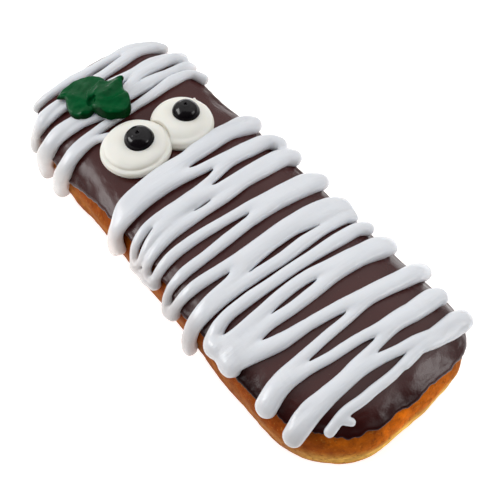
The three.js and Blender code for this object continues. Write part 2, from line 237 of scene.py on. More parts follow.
def curve_through(points, step):
    """A centripetal curve through the points, sampled about every step; also how
    far along the list of points each sample lies."""
    p = np.asarray(points, float)
    p = np.vstack([2 * p[0] - p[1], p, 2 * p[-1] - p[-2]])
    t = np.concatenate([[0], np.cumsum(np.sqrt(np.linalg.norm(np.diff(p[:, :2], axis=0), axis=1)) + 1e-6)])
    out, place = [], []
    for i in range(1, len(p) - 2):
        a, b, c, d = p[i - 1:i + 3]
        ta, tb, tc, td = t[i - 1:i + 3]
        n = max(2, int(np.linalg.norm((c - b)[:2]) / step) + 1)
        s = np.linspace(tb, tc, n, endpoint=(i == len(p) - 3))[:, None]
        a1 = (tb - s) / (tb - ta) * a + (s - ta) / (tb - ta) * b
        a2 = (tc - s) / (tc - tb) * b + (s - tb) / (tc - tb) * c
        a3 = (td - s) / (td - tc) * c + (s - tc) / (td - tc) * d
        b1 = (tc - s) / (tc - ta) * a1 + (s - ta) / (tc - ta) * a2
        b2 = (td - s) / (td - tb) * a2 + (s - tb) / (td - tb) * a3
        out.append((tc - s) / (tc - tb) * b1 + (s - tb) / (tc - tb) * b2)
        place.append(i - 1 + (s[:, 0] - tb) / (tc - tb))
    return np.vstack(out), np.concatenate(place)


class Field:
    """Distance field on a regular grid, in which beads of icing run together."""

    def __init__(self, low, high, pitch):
        self.low, self.pitch = np.asarray(low, float), pitch
        self.shape = np.ceil((np.asarray(high) - self.low) / pitch).astype(int) + 1
        self.value = np.full(self.shape, 3.0, dtype=np.float32)

    def window(self, low, high):
        a = np.clip(((low - self.low) / self.pitch).astype(int), 0, self.shape - 1)
        b = np.clip(((high - self.low) / self.pitch).astype(int) + 2, 1, self.shape)
        axes = [self.low[i] + self.pitch * np.arange(a[i], b[i]) for i in range(3)]
        return tuple(slice(a[i], b[i]) for i in range(3)), axes

    def blend(self, region, other, soft):
        """Union with a fillet of size soft, one size or one for each grid point."""
        mine = self.value[region]
        if isinstance(soft, np.ndarray):
            soft = soft[region]
        h = np.maximum(soft - np.abs(mine - other), 0) / soft
        self.value[region] = np.minimum(mine, other) - h * h * soft * 0.25

    def bead(self, points, radii, soft, flat=None, band=2.2):
        """A bead along points; flat = (direction, how much lower, how square), the
        first two for each point."""
        reach = radii.max() + band
        low, high = points.min(0) - reach, points.max(0) + reach
        region, axes = self.window(low, high)
        start = np.array([r.start for r in region])
        own = np.full([len(a) for a in axes], 3.0, dtype=np.float32)
        for i in range(len(points) - 1):
            a, b = points[i], points[i + 1]
            ra, rb = radii[i], radii[i + 1]
            lo = np.minimum(a, b) - max(ra, rb) - band
            hi = np.maximum(a, b) + max(ra, rb) + band
            inner, ax = self.window(lo, hi)
            sub = tuple(slice(inner[j].start - start[j], inner[j].stop - start[j]) for j in range(3))
            x = ax[0][:, None, None] - a[0]
            y = ax[1][None, :, None] - a[1]
            z = ax[2][None, None, :] - a[2]
            d = b - a
            t = np.clip((x * d[0] + y * d[1] + z * d[2]) / max(d @ d, 1e-9), 0, 1)
            dx, dy, dz = x - t * d[0], y - t * d[1], z - t * d[2]
            q = dx * dx + dy * dy + dz * dz
            if flat is None:
                dist = np.sqrt(q) - (ra + t * (rb - ra))
            else:
                n, k, power = flat[0][i], flat[1][i], flat[2]
                up = dx * n[0] + dy * n[1] + dz * n[2]
                across = np.sqrt(np.maximum(q - up * up, 0))
                dist = ((across ** power + np.abs(up * k) ** power + 1e-9) ** (1 / power)
                        - (ra + t * (rb - ra)))
            np.minimum(own[sub], dist.astype(np.float32), out=own[sub])
        self.blend(region, own, soft)

    def at(self, p):
        """Value and gradient between grid points."""
        q = (p - self.low) / self.pitch
        i = np.clip(q.astype(int), 1, self.shape - 3)
        f = q - i
        v = self.value

        def tri(dx, dy, dz):
            a, b, c = i[:, 0] + dx, i[:, 1] + dy, i[:, 2] + dz
            fx, fy, fz = f[:, 0], f[:, 1], f[:, 2]
            c00 = v[a, b, c] * (1 - fx) + v[a + 1, b, c] * fx
            c10 = v[a, b + 1, c] * (1 - fx) + v[a + 1, b + 1, c] * fx
            c01 = v[a, b, c + 1] * (1 - fx) + v[a + 1, b, c + 1] * fx
            c11 = v[a, b + 1, c + 1] * (1 - fx) + v[a + 1, b + 1, c + 1] * fx
            return (c00 * (1 - fy) + c10 * fy) * (1 - fz) + (c01 * (1 - fy) + c11 * fy) * fz

        g = np.stack([tri(1, 0, 0) - tri(-1, 0, 0), tri(0, 1, 0) - tri(0, -1, 0),
                      tri(0, 0, 1) - tri(0, 0, -1)], -1) / (2 * self.pitch)
        return tri(0, 0, 0), g

    def surface(self, rounds=3):
        """The zero surface as quads, evened out and drawn back onto the field."""
        v = self.value
        nx, ny, nz = v.shape
        inside = v < 0
        size = nx * ny * nz
        total = np.zeros((3, size))
        count = np.zeros(size)
        strides = (ny * nz, nz, 1)
        quads = []
        for axis in range(3):
            a = [slice(None)] * 3
            b = [slice(None)] * 3
            a[axis], b[axis] = slice(0, -1), slice(1, None)
            cross = inside[tuple(a)] != inside[tuple(b)]
            idx = np.argwhere(cross)
            fa, fb = v[tuple(a)][cross], v[tuple(b)][cross]
            t = fa / (fa - fb)
            p = idx.astype(float)
            p[:, axis] += t
            base = idx @ np.array(strides)
            o1, o2 = strides[(axis + 1) % 3], strides[(axis + 2) % 3]
            cells = [base, base - o1, base - o1 - o2, base - o2]
            for c in cells:
                count += np.bincount(c, minlength=size)
                for k in range(3):
                    total[k] += np.bincount(c, weights=p[:, k], minlength=size)
            quad = np.stack(cells, 1)
            out = inside[tuple(a)][cross]
            quads.append(np.where(out[:, None], quad, quad[:, ::-1]))
        quads = np.vstack(quads)
        used = np.flatnonzero(count)
        number = np.full(size, -1)
        number[used] = np.arange(len(used))
        quads = number[quads]
        p = (total[:, used] / count[used]).T * self.pitch + self.low
        edges = np.vstack([quads[:, [0, 1]], quads[:, [1, 2]], quads[:, [2, 3]], quads[:, [3, 0]]])
        edges = np.vstack([edges, edges[:, ::-1]])
        degree = np.bincount(edges[:, 0], minlength=len(p)).astype(float)
        for r in range(rounds):
            mean = np.stack([np.bincount(edges[:, 0], weights=p[edges[:, 1], k], minlength=len(p))
                             for k in range(3)], -1) / degree[:, None]
            p = p + 0.6 * (mean - p)
            for _ in range(2):
                f, g = self.at(p)
                p = p - g * (f / np.maximum((g * g).sum(1), 0.25))[:, None]
        return p, quads


# ---- dough --------------------------------------------------------------------------
def dough_mesh():
    p, quads = cube_grid(44, 120, 32)
    # rows even out where the bar turns from its side to its top and base
    s = on_skin(p[:, 0], p[:, 1], p[:, 2], 0.0)
    out = on_skin(p[:, 0], p[:, 1], p[:, 2], 1.0) - s
    out /= np.linalg.norm(out, axis=1)[:, None]
    swell = 0.28 * waves(s, 34, 3) + 0.14 * waves(s, 11, 4) + 0.075 * waves(s, 4.2, 5, 22)
    waist = np.exp(-((s[:, 2] - EQUATOR + 0.6) / 2.0) ** 2)
    swell -= 0.30 * waist
    # the bar spreads a little more in two places along its near side
    low, near = np.clip((EQUATOR + 3 - s[:, 2]) / 5, 0, 1), np.clip(-s[:, 0] / 26, 0, 1) ** 3
    swell += low * near * (1.2 * np.exp(-((s[:, 1] - 45) / 11) ** 2)
                           + 0.5 * np.exp(-((s[:, 1] + 38) / 9) ** 2))
    s = s + out * swell[:, None]
    s = settle(s)
    low = s[:, 2] < 0.9
    s[:, 2] = np.where(low, np.maximum(0.25 * waves(s, 9, 6) * 0.2 + 0.05, 0.0), s[:, 2])
    return s, quads


# ---- chocolate coat -------------------------------------------------------------------
# Height of the coat's lower edge above the widest level, round the bar: the
# angle is taken from the side facing +X through the head to -X and the foot.
EDGE = [
    (-180, 8.6), (-173, 8.4), (-166, 7.9), (-157, 6.7), (-149, 5.8), (-140, 6.5), (-131, 7.0),
    (-125, 6.4), (-122, 6.9), (-119, 7.3), (-116.5, 8.5), (-115, 8.2), (-112, 8.8), (-109, 8.9),
    (-105.5, 8.5), (-102, 8.4), (-99.6, 9.0), (-98.2, 8.3), (-95, 8.2), (-92, 8.4), (-90, 7.7),
    (-88, 7.7), (-85, 8.0), (-82, 7.6), (-79.5, 7.1), (-77, 6.9), (-73, 5.7), (-69, 4.8),
    (-64, 5.0), (-56, 6.0), (-46, 7.6), (-34, 8.4), (-20, 7.4), (-6, 8.6), (8, 7.8), (22, 8.9),
    (36, 7.6), (52, 8.6), (66, 7.2), (80, 8.4), (94, 7.4), (106, 7.0), (116, 4.4), (124, 3.2),
    (128, 5.1), (132.5, 6.3), (138, 7.2), (144, 7.4), (151, 7.9), (158, 8.0), (169, 8.5),
]


def edge_height(angle):
    a = np.array([e[0] for e in EDGE], float)
    h = np.array([e[1] for e in EDGE], float)
    a = np.concatenate([a - 360, a, a + 360])
    h = np.tile(h, 3)
    # smooth between the listed heights
    i = np.clip(np.searchsorted(a, angle) - 1, 1, len(a) - 3)
    t = (angle - a[i]) / (a[i + 1] - a[i])
    m0 = (h[i + 1] - h[i - 1]) / (a[i + 1] - a[i - 1]) * (a[i + 1] - a[i])
    m1 = (h[i + 2] - h[i]) / (a[i + 2] - a[i]) * (a[i + 1] - a[i])
    return ((2 * t ** 3 - 3 * t ** 2 + 1) * h[i] + (t ** 3 - 2 * t ** 2 + t) * m0
            + (-2 * t ** 3 + 3 * t ** 2) * h[i + 1] + (t ** 3 - t ** 2) * m1)


def coat_mesh():
    nx, ny, nz = 80, 200, 48
    p, quads = cube_grid(nx, ny, nz)
    px, py = p[:, 0], p[:, 1]
    r = np.abs(p[:, 2])
    inner = p[:, 2] < -1e-6
    yq = py * LENGTH / 2
    v = (yq - np.clip(yq, -SPINE, SPINE)) / CAP
    plan = (np.abs(px) ** PLAN_POWER + np.abs(v) ** PLAN_POWER) ** (1 / PLAN_POWER)
    angle = np.degrees(np.arctan2(py * LENGTH, px * WIDTH))
    around = np.stack([px * 30, py * 82], -1)
    h = edge_height(angle) + 0.12 * waves(around, 5, 21) + 0.12 * waves(around, 2.2, 22)
    zeta = np.clip(h / CROWN, 0.05, 0.97)
    e = np.clip(plan * zeta / (1 - zeta ** SIDE_POWER) ** (1 / SIDE_POWER), 0, 0.985)
    on_side = (np.abs(px) > 0.9999) | (np.abs(py) > 0.9999)
    pz = np.where(on_side, e + (1 - e) * r ** 1.7, 1.0)
    base = on_skin(px, py, pz, 0.0)
    lip = on_skin(px, py, np.where(on_side, e, 1.0), 0.0)
    s = np.where(on_side, np.linalg.norm(base - lip, axis=1), 30.0)
    thick = 0.95 + 0.28 * np.exp(-((s - 1.3) / 1.1) ** 2)
    w = 0.8
    round_off = np.sqrt(np.clip(1 - (1 - np.clip(s / w, 0, 1)) ** 2, 0, 1))
    rise = -0.35 + (thick + 0.35) * round_off
    rise = np.where(inner, -1.1, rise)
    q = on_skin(px, py, pz, rise)
    flat = np.clip((q[:, 2] - EQUATOR) / CROWN, 0, 1)
    q[:, 2] += np.where(inner, 0, (COAT - 0.95) * flat ** 1.5)
    # a poured coat is never quite even
    plan_p = np.stack([q[:, 0], q[:, 1]], -1)
    uneven = (0.16 * waves(plan_p, 26, 11) + 0.07 * waves(plan_p, 9, 12)
              + np.exp(-s / 8) * (0.10 * waves(q, 4.6, 13) + 0.035 * waves(q, 2.2, 14, 20)))
    n = q - on_skin(px, py, pz, rise - 1.0)
    n /= np.linalg.norm(n, axis=1)[:, None]
    q = q + n * np.where(inner, 0, uneven * np.clip(s / 3, 0, 1))[:, None]
    return settle(q), quads


# ---- bandages ------------------------------------------------------------------------------
# Where each pass of the piping bag ran, on the unrolled top: its left end, its
# place at X = -31, -24, -16, -8, 0, 8, 16 and 24, its right end, and the
# half width of the bead at each of these.
AT_X = (-31, -24, -16, -8, 0, 8, 16, 24)
HEAD = [
    ((-22.8, 77.3), (None, None, 73.6, 71.8, 71.9, 71.5, 72.3, 71.6), (25.7, 70.7),
     (1.43, 2.00, 2.00, 1.77, 2.38, 1.68, 1.93, 2.50, 2.50, 2.07)),
    ((-34.9, 73.0), (69.4, 66.7, 65.5, 65.1, 65.8, 66.6, 68.5, 70.2), (25.9, 69.8),
     (2.16, 1.35, 2.90, 1.82, 2.19, 1.72, 1.92, 1.87, 1.95, 2.00)),
    ((-35.3, 73.2), (70.9, 64.6, 62.5, 60.1, 59.8, 59.6, 60.8, 62.1), (28.2, 62.1),
     (2.27, 1.35, 1.35, 1.35, 2.00, 2.00, 1.67, 1.80, 1.40, 2.41)),
    ((-43.0, 72.2), (58.9, 57.1, 55.0, 54.0, 54.3, 57.1, 58.3, 60.2), (26.3, 59.2),
     (2.80, 3.02, 2.59, 2.22, 2.10, 2.10, 1.71, 1.90, 2.10, 2.20)),
    ((-43.3, 69.3), (57.3, 54.9, 52.8, 51.1, 51.8, 52.8, 53.7, 55.3), (29.3, 56.8),
     (2.71, 1.35, 1.35, 1.38, 2.10, 1.53, 2.35, 1.56, 1.75, 1.55)),
    ((-43.8, 54.0), (47.5, 47.5, 47.2, 47.1, 47.2, 48.2, 50.1, 51.1), (27.1, 48.4),
     (2.83, 2.78, 2.32, 1.64, 1.54, 1.46, 1.71, 2.02, 1.49, 1.89)),
    ((-42.1, 51.4), (46.7, 45.9, 44.4, None, None, None, None, None), (-9.6, 38.7),
     (2.70, 2.23, 1.87, 1.35, 2.00, 2.00, 2.00, 2.00, 2.00, 1.67)),
]
BODY = [
    ((-37.8, 16.0), (16.6, 19.0, 19.3, 19.9, 19.4, 21.0, 21.7, 23.1), (26.2, 21.0),
     (1.91, 2.01, 2.38, 2.15, 1.77, 1.97, 2.30, 1.93, 1.53, 2.56)),
    ((-36.7, 14.5), (15.6, 16.2, 16.4, 16.7, 17.5, 18.2, 19.2, None), (25.5, 19.1),
     (1.86, 1.98, 1.82, 2.16, 2.18, 1.75, 2.02, 2.03, 2.18, 2.15)),
    ((-34.7, 12.6), (15.0, 14.7, 14.6, 14.0, 12.6, 11.9, 12.0, 12.0), (27.1, 9.2),
     (1.87, 1.64, 1.88, 2.16, 2.14, 1.70, 1.73, 1.69, 1.35, 2.52)),
    ((-33.8, 4.1), (6.4, 7.9, 7.3, 6.7, 7.4, 9.3, 9.8, 10.4), (26.5, 7.9),
     (1.60, 1.35, 1.63, 1.51, 1.52, 1.48, 1.71, 2.15, 2.06, 2.12)),
    ((-32.6, 2.6), (2.5, 3.8, 4.2, 4.4, 3.3, 3.3, 3.8, 4.5), (27.8, 2.4),
     (1.35, 1.40, 1.67, 2.12, 2.77, 1.63, 1.70, 1.81, 1.48, 2.56)),
    ((-33.5, -2.2), (-0.5, 0.2, 0.2, -0.5, -0.4, 0.3, 0.6, 1.8), (26.9, 1.0),
     (1.79, 1.40, 1.60, 1.89, 1.55, 1.67, 1.70, 1.90, 2.05, 2.23)),
    ((-32.5, -5.1), (None, -4.9, -5.7, -6.6, -7.3, -8.0, -8.1, -8.1), (28.1, -10.3),
     (2.30, 1.51, 1.82, 1.76, 1.64, 1.70, 1.88, 1.85, 1.93, 2.51)),
    ((-36.5, -13.6), (-11.5, -11.6, -12.4, -12.3, -11.8, -11.3, -11.4, -11.3), (27.7, -11.2),
     (1.83, 1.35, 1.85, 1.66, 1.89, 1.69, 2.39, 2.25, 2.28, 2.34)),
    ((-35.3, -16.0), (-16.2, -17.1, -18.7, -19.9, -19.9, -19.7, -19.4, -20.0), (26.9, -22.0),
     (2.04, 1.59, 1.93, 1.82, 2.36, 2.37, 2.44, 2.18, 2.00, 2.51)),
    ((-41.0, -24.8), (-23.8, -23.6, -23.7, -22.4, -22.3, -22.2, -22.8, -23.4), (26.7, -24.9),
     (1.93, 1.98, 1.98, 1.80, 2.17, 1.49, 1.53, 2.22, 2.10, 2.01)),
    ((-42.6, -24.8), (-25.7, -26.1, -26.7, -27.1, -27.5, -27.1, -26.9, -27.0), (26.1, -27.7),
     (2.06, 1.44, 1.62, 1.63, 1.86, 1.84, 2.06, 1.65, 1.55, 1.72)),
    ((-30.5, -32.2), (None, -30.7, -31.1, -31.7, -31.9, -32.2, -32.2, -32.1), (27.3, -33.1),
     (1.90, 2.56, 1.93, 1.82, 1.81, 1.72, 1.91, 2.21, 2.08, 2.16)),
    ((-30.9, -34.2), (None, -36.6, -36.9, -36.4, -36.4, -37.7, -38.5, -39.0), (30.1, -40.5),
     (2.36, 2.20, 2.08, 2.06, 1.95, 1.80, 2.09, 2.00, 2.08, 2.15)),
    ((-30.9, -40.5), (None, -40.6, -40.7, -41.4, -41.3, -40.8, -41.0, -42.0), (28.0, -42.5),
     (2.44, 2.40, 2.38, 1.81, 1.83, 1.81, 2.22, 2.23, 2.25, 1.92)),
    ((-30.5, -42.1), (None, -44.1, -46.8, -47.9, -49.1, -50.6, -51.6, -52.2), (32.9, -52.8),
     (2.63, 1.95, 2.26, 2.41, 1.75, 1.88, 2.25, 2.19, 2.34, 2.52)),
    ((-30.5, -57.1), (None, -54.7, -53.9, -53.5, -53.3, -52.7, -53.4, -53.8), (30.4, -54.0),
     (2.95, 2.78, 1.94, 1.72, 1.51, 1.44, 1.50, 1.49, 1.90, 2.05)),
    ((-30.4, -58.8), (None, -56.9, -57.1, -58.4, -59.3, -60.7, -60.7, -60.6), (25.9, -61.8),
     (2.90, 2.55, 2.35, 1.62, 1.58, 1.53, 1.91, 1.61, 2.22, 2.24)),
    ((-30.3, -69.2), (None, -65.8, -64.5, -63.9, -63.5, -62.6, -62.7, None), (25.2, -62.3),
     (2.90, 2.62, 1.35, 1.75, 1.48, 1.43, 1.74, 2.04, 1.92, 2.15)),
    ((-30.2, -70.5), (None, -68.7, -66.4, -65.6, -66.6, -68.2, -69.4, -69.6), (28.0, -70.5),
     (2.90, 2.45, 2.16, 1.78, 1.85, 1.60, 1.56, 1.46, 2.76, 2.69)),
    ((-21.8, -74.0), (None, None, -71.4, -71.5, -71.8, -70.9, -71.8, -72.3), (26.4, -71.1),
     (2.12, 1.60, 1.60, 1.52, 1.52, 1.47, 1.35, 1.80, 1.41, 2.53)),
]
# Where icing ran together between the ends of passes: both ends and half width.
RUNS = [((-34.1, 4.0), (-33.9, -2.0), 1.7), ((-31.2, -33.6), (-30.9, -34.6), 2.4),
        ((-31.0, -40.8), (-30.8, -41.8), 2.8), ((-30.4, -34.6), (-30.3, -40.8), 2.6),
        ((-16.9, -73.3), (-15.9, -74.3), 1.2), ((9.4, -71.7), (4.6, -72.0), 1.1),
        ((-28.0, -35.8), (-27.0, -39.4), 1.9), ((-26.4, -36.5), (-25.6, -38.8), 1.5)]
HEAD_RUNS = [((11.0, 69.3), (22.0, 70.8), 1.5)]


def strand_points(row, step=0.8):
    """Centre line of one pass in space, its bead's radii and the skin's normals."""
    left, ys, right, half = row
    flat = [left] + [(x, y) for x, y in zip(AT_X, ys) if y is not None] + [right]
    c, _ = curve_through(flat, step)
    X, Y = c[:, 0], c[:, 1]
    r = np.interp(X, [left[0], *AT_X, right[0]], half)
    p = on_top(X, Y)
    n = normal_at(X, Y)
    r = r * (1 + 0.035 * waves(np.stack([X * 1.0, Y * 3.0], -1), 16, 31))
    # the bag turns back at the far end, where the bead stands fuller
    turn = np.clip((X - 19) / 9, 0, 1)
    p = p + n * (0.95 * turn * turn * (3 - 2 * turn))[:, None]
    return p, r, n


def over_coat(field):
    """About how high each grid point lies over the coat."""
    x, y, z = np.meshgrid(*[field.low[i] + field.pitch * np.arange(field.shape[i]) for i in range(3)],
                          indexing="ij")
    u = np.abs(x - CENTRE_X) / (WIDTH / 2 * taper_at(y))
    v = np.maximum(np.abs(y) - SPINE, 0) / CAP
    k = (u ** PLAN_POWER + v ** PLAN_POWER) ** (1 / PLAN_POWER)
    g = (k ** SIDE_POWER + np.maximum((z - EQUATOR) / CROWN, 0) ** SIDE_POWER) ** (1 / SIDE_POWER)
    slope = np.sqrt(sum(d * d for d in np.gradient(g, field.pitch)))
    flat = np.clip((z - EQUATOR) / CROWN, 0, 1)
    return (g - 1) / np.maximum(slope, 1e-3) - 0.95 - (COAT - 0.95) * flat ** 1.5


def wrap_mesh(rows, runs, pitch, crease, fillet, low_drop=0.55):
    passes = [strand_points(row) for row in rows]
    # a later pass rides up a little where it lies on an earlier one
    placed = []
    for i, (p, r, n) in enumerate(passes):
        lift = np.zeros(len(p))
        for q, rq, _ in placed[-2:]:
            d = np.sqrt(((p[:, None, :] - q[None, ::2, :]) ** 2).sum(2)).min(1)
            lift = np.maximum(lift, 0.5 * np.clip(1 - d / 3.4, 0, 1))
        kernel = np.ones(7) / 7
        lift = np.convolve(np.pad(lift, 3, mode="edge"), kernel, mode="valid")
        placed.append((p, r, n))
        passes[i] = (settle(p + n * (lift - low_drop)[:, None]), r, n)
    every = np.vstack([p for p, _, _ in passes])
    field = Field(every.min(0) - 6, every.max(0) + 6, pitch)
    # passes part with a crisp line at the coat and run together higher up
    soft = (crease + fillet * np.clip((over_coat(field) - 0.8) / 1.4, 0, 1)).astype(np.float32)
    for p, r, n in passes:
        # a low ribbon on the top, a plump bead down the side
        k = 1.0 + 0.26 * np.clip((n[:, 2] - 0.15) / 0.55, 0, 1)
        k -= 0.24 * np.clip((p[:, 0] - 18) / 6, 0, 1)
        field.bead(p, r, soft, (n, k, 2.35))
    for start, end, r in runs:
        t = np.linspace(0, 1, 9)
        X, Y = start[0] + t * (end[0] - start[0]), start[1] + t * (end[1] - start[1])
        n = normal_at(X, Y)
        pts = settle(on_top(X, Y) - n * low_drop)
        field.bead(pts, np.full(9, r), soft, (n, np.full(9, 1.15), 2.3))
    return field.surface()


# ---- eyes -----------------------------------------------------------------------------------
EYES = {
    "left": dict(at=(-10.0, 32.25), radius=11.5, squash=0.95, tall=1.0, pupil=(1.85, 0.0, 4.8)),
    "right": dict(at=(6.75, 31.3), radius=10.3, squash=1.05, tall=1.12, pupil=(2.2, 0.6, 4.45)),
}
LONG_AXIS = math.radians(-39.0)
# Profile of a disc from its middle down to its foot: share of the radius, height.
DISC = [(0.0, 4.5), (0.2, 4.5), (0.38, 4.47), (0.53, 4.38), (0.66, 4.17), (0.75, 3.86),
        (0.81, 3.46), (0.845, 3.02), (0.862, 2.64), (0.876, 2.46), (0.895, 2.48), (0.925, 2.52),
        (0.962, 2.26), (0.99, 1.7), (0.998, 1.1), (0.985, 0.5), (0.955, -0.1), (0.91, -0.9), (0.8, -2.2),
        (0.4, -2.6), (0.0, -2.6)]
# The same without the crease above the rim, for its other side.
DISC_ROUND = [(0.0, 4.5), (0.2, 4.5), (0.4, 4.46), (0.58, 4.32), (0.72, 4.04), (0.83, 3.6),
              (0.91, 3.05), (0.965, 2.4), (0.995, 1.7), (1.0, 1.0), (0.985, 0.4), (0.955, -0.1),
              (0.91, -0.9), (0.8, -2.2), (0.4, -2.6), (0.0, -2.6)]
# The second disc stands on a thicker rim.
DISC_DEEP = [(0.0, 4.5), (0.2, 4.5), (0.36, 4.44), (0.50, 4.28), (0.62, 3.98), (0.71, 3.58),
             (0.77, 3.22), (0.81, 3.0), (0.86, 2.86), (0.91, 2.62), (0.945, 2.26), (0.965, 1.9),
             (0.98, 1.62), (1.0, 1.2), (1.0, 0.7), (0.985, 0.2), (0.955, -0.3), (0.91, -0.9),
             (0.8, -2.2), (0.4, -2.6), (0.0, -2.6)]
PUPIL = [(0.0, 2.85), (0.06, 2.9), (0.10, 3.25), (0.15, 3.58), (0.22, 3.62), (0.36, 3.44),
         (0.50, 3.17), (0.62, 2.84), (0.73, 2.44), (0.82, 2.00), (0.90, 1.46), (0.955, 0.90),
         (0.995, 0.2), (0.98, -0.3), (0.9, -0.9), (0.5, -1.1), (0.0, -1.1)]


def eye_frame(spec):
    (x, y), radius = spec["at"], spec["radius"]
    o = COAT + 0.3
    across = (height_at(x + radius * 0.7, y, o) - height_at(x - radius * 0.7, y, o)) / (1.4 * radius)
    along = (height_at(x, y + radius * 0.7, o) - height_at(x, y - radius * 0.7, o)) / (1.4 * radius)
    across, along = 0.75 * across, 0.75 * along
    up = Vector((-across, -along, 1)).normalized()
    turn = Vector((0, 0, 1)).rotation_difference(up).to_matrix()
    return np.array(turn), np.array([x, y, height_at(x, y, o) - 0.25])


def turned(profile, rings, around):
    """A turned form with a small pole at each end: unit-radius shares, heights, angles."""
    prof, _ = curve_through(profile, 0.02)
    d = np.concatenate([[0], np.cumsum(np.hypot(np.diff(prof[:, 0]) * 6, np.diff(prof[:, 1])))])
    t = np.linspace(0, d[-1], rings + 2)[1:-1]
    rr, hh = np.interp(t, d, prof[:, 0]), np.interp(t, d, prof[:, 1])
    a = 2 * np.pi * np.arange(around) / around
    R = np.repeat(np.maximum(rr, 0.004), around)
    H = np.repeat(hh, around)
    A = np.tile(a, rings)
    i, j = np.meshgrid(np.arange(rings - 1), np.arange(around), indexing="ij")
    k = (j + 1) % around
    quads = np.stack([i * around + j, (i + 1) * around + j, (i + 1) * around + k,
                      i * around + k], -1).reshape(-1, 4)
    tris = []
    n = rings * around
    for ring, pole in ((0, n), (rings - 1, n + 1)):
        j = np.arange(around)
        k = (j + 1) % around
        if ring == 0:
            tris.append(np.stack([np.full(around, pole), ring * around + j, ring * around + k], -1))
        else:
            tris.append(np.stack([np.full(around, pole), ring * around + k, ring * around + j], -1))
    R = np.concatenate([R, [0, 0]])
    H = np.concatenate([H, [profile[0][1], profile[-1][1]]])
    A = np.concatenate([A, [0, 0]])
    # every face a triangle, so that one array holds them all
    faces = np.vstack([quads[:, [0, 1, 2]], quads[:, [0, 2, 3]]] + tris)
    return R, H, A, faces


def eye_mesh(side):
    spec = EYES[side]
    R, H, A, faces = turned(DISC if side == "left" else DISC_DEEP, 76, 150)
    plain, plain_high = turned(DISC_ROUND, 76, 150)[:2]
    rim = np.clip(0.55 + 0.8 * np.cos(A - math.radians(-130)), 0, 1)
    R, H = plain + rim * (R - plain), (plain_high + rim * (H - plain_high)) * spec["tall"]
    seed = 41 if side == "left" else 42
    ring = np.stack([np.cos(A), np.sin(A)], -1)
    radius = spec["radius"] * (1 + 0.012 * waves(ring * 10, 14, seed) * np.clip(R * 1.5 - 0.5, 0, 1))
    a = A - LONG_AXIS
    long, short = R * radius * np.cos(a), R * radius * np.sin(a) * spec["squash"]
    x = long * math.cos(LONG_AXIS) - short * math.sin(LONG_AXIS)
    y = long * math.sin(LONG_AXIS) + short * math.cos(LONG_AXIS)
    h = H + 0.06 * waves(np.stack([x, y], -1), 7, seed + 5) * (R < 0.97)
    if side == "right":
        # a small tail where the bag was lifted away
        h = h + 1.1 * np.exp(-(np.hypot(x - 8.3, y - 4.1) / 0.42) ** 2) * (H > 1)
        # pressed against the left disc, which was piped over its edge
        lx = EYES["left"]["at"][0] - spec["at"][0]
        ly = EYES["left"]["at"][1] - spec["at"][1]
        d = np.hypot(x - lx, y - ly)
        limit = EYES["left"]["radius"] - 0.9
        soft = 0.5
        pushed = limit + soft * np.logaddexp(0, (d - limit) / soft)
        x, y = lx + (x - lx) * pushed / d, ly + (y - ly) * pushed / d
        h = h - 0.55 * np.exp(-np.clip(pushed - limit, 0, None) / 0.9) * (H > 0)
    turn, base = eye_frame(spec)
    p = np.stack([x, y, h], -1) @ turn.T + base
    return settle(p), faces


def pupil_mesh(side):
    spec = EYES[side]
    dx, dy, r = spec["pupil"]
    R, H, A, faces = turned(PUPIL, 56, 96)
    seed = 51 if side == "left" else 52
    ring = np.stack([np.cos(A), np.sin(A)], -1)
    rr = r * (1 + 0.02 * waves(ring * 5, 9, seed) * R)
    x, y = R * rr * np.cos(A), R * rr * np.sin(A)
    h = H + 0.07 * waves(np.stack([x, y], -1), 4.5, seed + 3) * (H > 0)
    # a shallow coil where the bag was lifted off
    h = h + 0.10 * np.exp(-((R - 0.36) / 0.13) ** 2) * np.sin(A + 15 * R) * (H > 0)
    x, y = x + dx, y + dy
    turn, base = eye_frame(spec)
    p = np.stack([x, y, h + 4.35 * spec["tall"]], -1) @ turn.T + base
    return settle(p), faces


# ---- leaf ---------------------------------------------------------------------------------------
# Outlines of the two piped lobes in the plan; the right lobe lies over the left.
LOBE_LEFT = [(-18.6, 66.4), (-14.0, 68.3), (-9.9, 67.8), (-5.6, 66.7), (-3.9, 64.5),
             (-2.4, 60.8), (-4.1, 58.9), (-8.2, 56.0), (-11.6, 53.1), (-13.8, 51.9),
             (-16.0, 52.6), (-18.3, 54.5), (-19.1, 56.6), (-19.0, 58.4), (-18.4, 60.4),
             (-17.3, 62.8), (-17.2, 63.8), (-17.9, 65.1)]
LOBE_RIGHT = [(-2.9, 59.6), (-0.6, 58.7), (1.8, 57.6), (2.3, 56.3), (1.1, 55.3), (-0.3, 53.0),
              (-0.7, 50.4), (-1.8, 46.8), (-3.7, 44.4), (-6.0, 43.4), (-8.1, 43.7),
              (-10.7, 45.8), (-12.0, 48.4), (-12.9, 51.5), (-13.2, 53.4), (-13.0, 55.3),
              (-12.4, 57.0), (-11.1, 58.7), (-9.3, 59.9), (-6.8, 60.5), (-4.5, 60.3)]
# Where the lobes fold together, and a small pit beside it.
FOLD, PIT = (-11.5, 55.0), (-9.9, 55.5)


